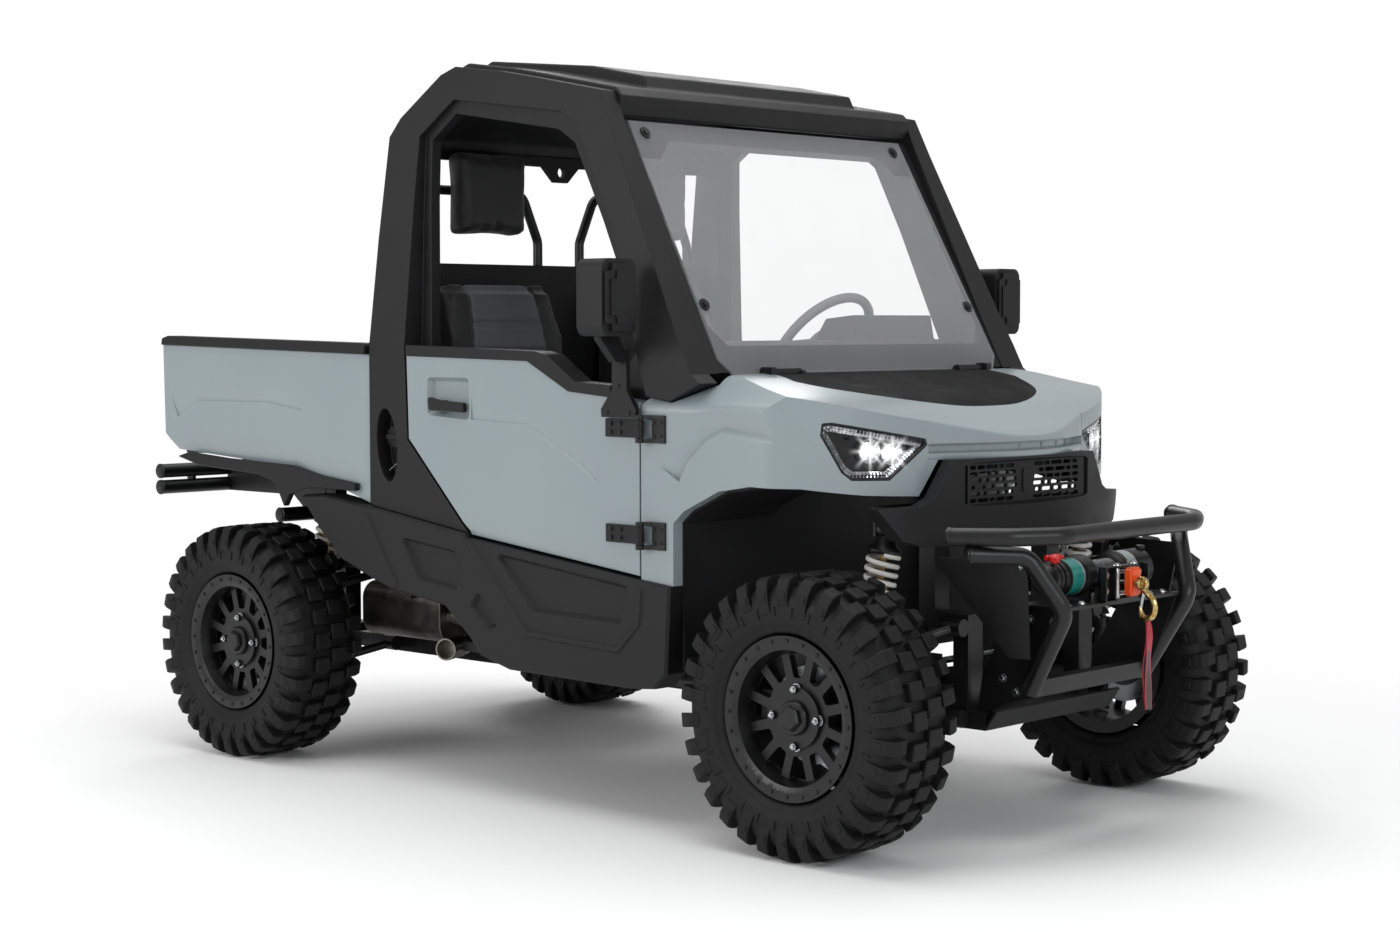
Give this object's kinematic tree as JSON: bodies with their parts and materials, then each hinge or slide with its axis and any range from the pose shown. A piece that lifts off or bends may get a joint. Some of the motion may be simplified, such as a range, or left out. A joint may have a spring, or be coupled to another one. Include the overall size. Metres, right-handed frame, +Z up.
{
  "type": "side-by-side utility vehicle",
  "caption": "Side-by-side utility vehicle with a roofed cab, half doors, tipping cargo bed, tube bumper with winch, and knobbly tyres.",
  "frame": {"origin": "middle of the bounding box, on the ground", "axes": "-Y is forward, +X is the vehicle's left side, +Z is up"},
  "size_m": [1.744, 3.321, 2.013],
  "materials": {
    "body_paint": "gloss pale blue-grey paint",
    "black_plastic": "matte textured black plastic",
    "frame_paint": "satin black powder coat",
    "tyre": "knobbly rubber",
    "wheel_alloy": "black painted alloy with machined edges",
    "steel": "bare and zinc plated steel",
    "spring_white": "white springs, bronze dampers",
    "engine_grey": "cast, satin",
    "exhaust_steel": "polished pipe and silencer",
    "wind_glass": "clear sheet",
    "lamp_glass": "clear lens over bright reflector",
    "red_lens": "red moulded lens",
    "seat_fabric": "coated fabric, two greys",
    "interior_plastic": "grained charcoal plastic",
    "tank_plastic": "light grey moulded plastic",
    "strap_red": "gold hook on its rope, red webbing strap"
  },
  "bodies": {
    "chassis": {"frame": "frame_paint", "skid_plate": "black_plastic", "front_arms": "frame_paint", "rear_arms": "frame_paint", "shocks": "spring_white", "driveline": "steel", "engine": "engine_grey", "exhaust": "exhaust_steel", "cab_sides": "black_plastic", "roof": "black_plastic", "windshield": "wind_glass", "cab_frame": "black_plastic", "cab_tub": "interior_plastic", "headrest_hoops": "frame_paint", "dash": "interior_plastic", "seat_cushions": "seat_fabric", "seat_backs": "seat_fabric", "headrests": "seat_fabric", "sills": "black_plastic", "wings": "body_paint", "nose": "body_paint", "hood_insert": "black_plastic", "headlamps": "lamp_glass", "fascia": "black_plastic", "grille": "black_plastic", "wheel_liners": "black_plastic", "front_bumper": "frame_paint", "winch": "frame_paint", "fairlead": "steel", "winch_hook": "strap_red", "fuel_tank": "tank_plastic", "door_hinges": "frame_paint", "rear_hubs": "steel"},
    "knuckle_right": {"knuckle_right": "steel"},
    "knuckle_left": {"knuckle_left": "steel"},
    "steering_rods": {"track_rods": "steel"},
    "steering_wheel": {"steering_wheel": "black_plastic"},
    "door_right": {"door_right": "body_paint", "door_trim_right": "black_plastic"},
    "door_left": {"door_left": "body_paint", "door_trim_left": "black_plastic"},
    "bed": {"bed_tub": "black_plastic", "bed_panels": "body_paint", "tail_lamps": "red_lens", "bed_rails": "black_plastic", "bed_guards": "black_plastic", "bed_frame": "frame_paint"},
    "tailgate": {"tailgate": "body_paint"},
    "wheel_front_right": {"tyre_front_right": "tyre", "wheel_front_right": "wheel_alloy"},
    "wheel_front_left": {"tyre_front_left": "tyre", "wheel_front_left": "wheel_alloy"},
    "wheel_rear_right": {"tyre_rear_right": "tyre", "wheel_rear_right": "wheel_alloy"},
    "wheel_rear_left": {"tyre_rear_left": "tyre", "wheel_rear_left": "wheel_alloy"}
  },
  "joints": [
    {"name": "front_right_spin", "type": "hinge", "parent": "knuckle_right", "child": "wheel_front_right", "pos_m": [-0.657, -1.1285, 0.343], "axis": [1, 0, 0], "continuous": true},
    {"name": "front_left_spin", "type": "hinge", "parent": "knuckle_left", "child": "wheel_front_left", "pos_m": [0.657, -1.1285, 0.343], "axis": [1, 0, 0], "continuous": true},
    {"name": "rear_right_spin", "type": "hinge", "parent": "chassis", "child": "wheel_rear_right", "pos_m": [-0.6815, 1.0185, 0.343], "axis": [1, 0, 0], "continuous": true},
    {"name": "rear_left_spin", "type": "hinge", "parent": "chassis", "child": "wheel_rear_left", "pos_m": [0.6815, 1.0185, 0.343], "axis": [1, 0, 0], "continuous": true},
    {"name": "steer_right", "type": "hinge", "parent": "chassis", "child": "knuckle_right", "pos_m": [-0.56, -1.1285, 0.343], "axis": [0, 0, 1], "range_deg": [-30, 30]},
    {"name": "steer_left", "type": "hinge", "parent": "chassis", "child": "knuckle_left", "pos_m": [0.56, -1.1285, 0.343], "axis": [0, 0, 1], "range_deg": [-30, 30]},
    {"name": "rack_slide", "type": "slide", "parent": "chassis", "child": "steering_rods", "axis": [1, 0, 0], "range_m": [-0.0485, 0.0485]},
    {"name": "steering_wheel_turn", "type": "hinge", "parent": "chassis", "child": "steering_wheel", "pos_m": [0.315, -0.3285, 1.215], "axis": [0, 0.788, 0.6157], "range_deg": [-245, 245]},
    {"name": "door_right_hinge", "type": "hinge", "parent": "chassis", "child": "door_right", "pos_m": [-0.724, -0.6075, 0.745], "axis": [0, 0, 1], "range_deg": [0, 70]},
    {"name": "door_left_hinge", "type": "hinge", "parent": "chassis", "child": "door_left", "pos_m": [0.724, -0.6075, 0.745], "axis": [0, 0, -1], "range_deg": [0, 70]},
    {"name": "bed_tilt", "type": "hinge", "parent": "chassis", "child": "bed", "pos_m": [0, 1.1535, 0.694], "axis": [-1, 0, 0], "range_deg": [0, 45]},
    {"name": "tailgate_drop", "type": "hinge", "parent": "bed", "child": "tailgate", "pos_m": [0, 1.4565, 0.905], "axis": [-1, 0, 0], "range_deg": [0, 90]}
  ],
  "couplings": [
    {"joint": "steer_left", "follows": "steer_right", "ratio": 1},
    {"joint": "rack_slide", "follows": "steer_right", "m_per_rad": -0.0907},
    {"joint": "steering_wheel_turn", "follows": "steer_right", "ratio": 8}
  ]
}
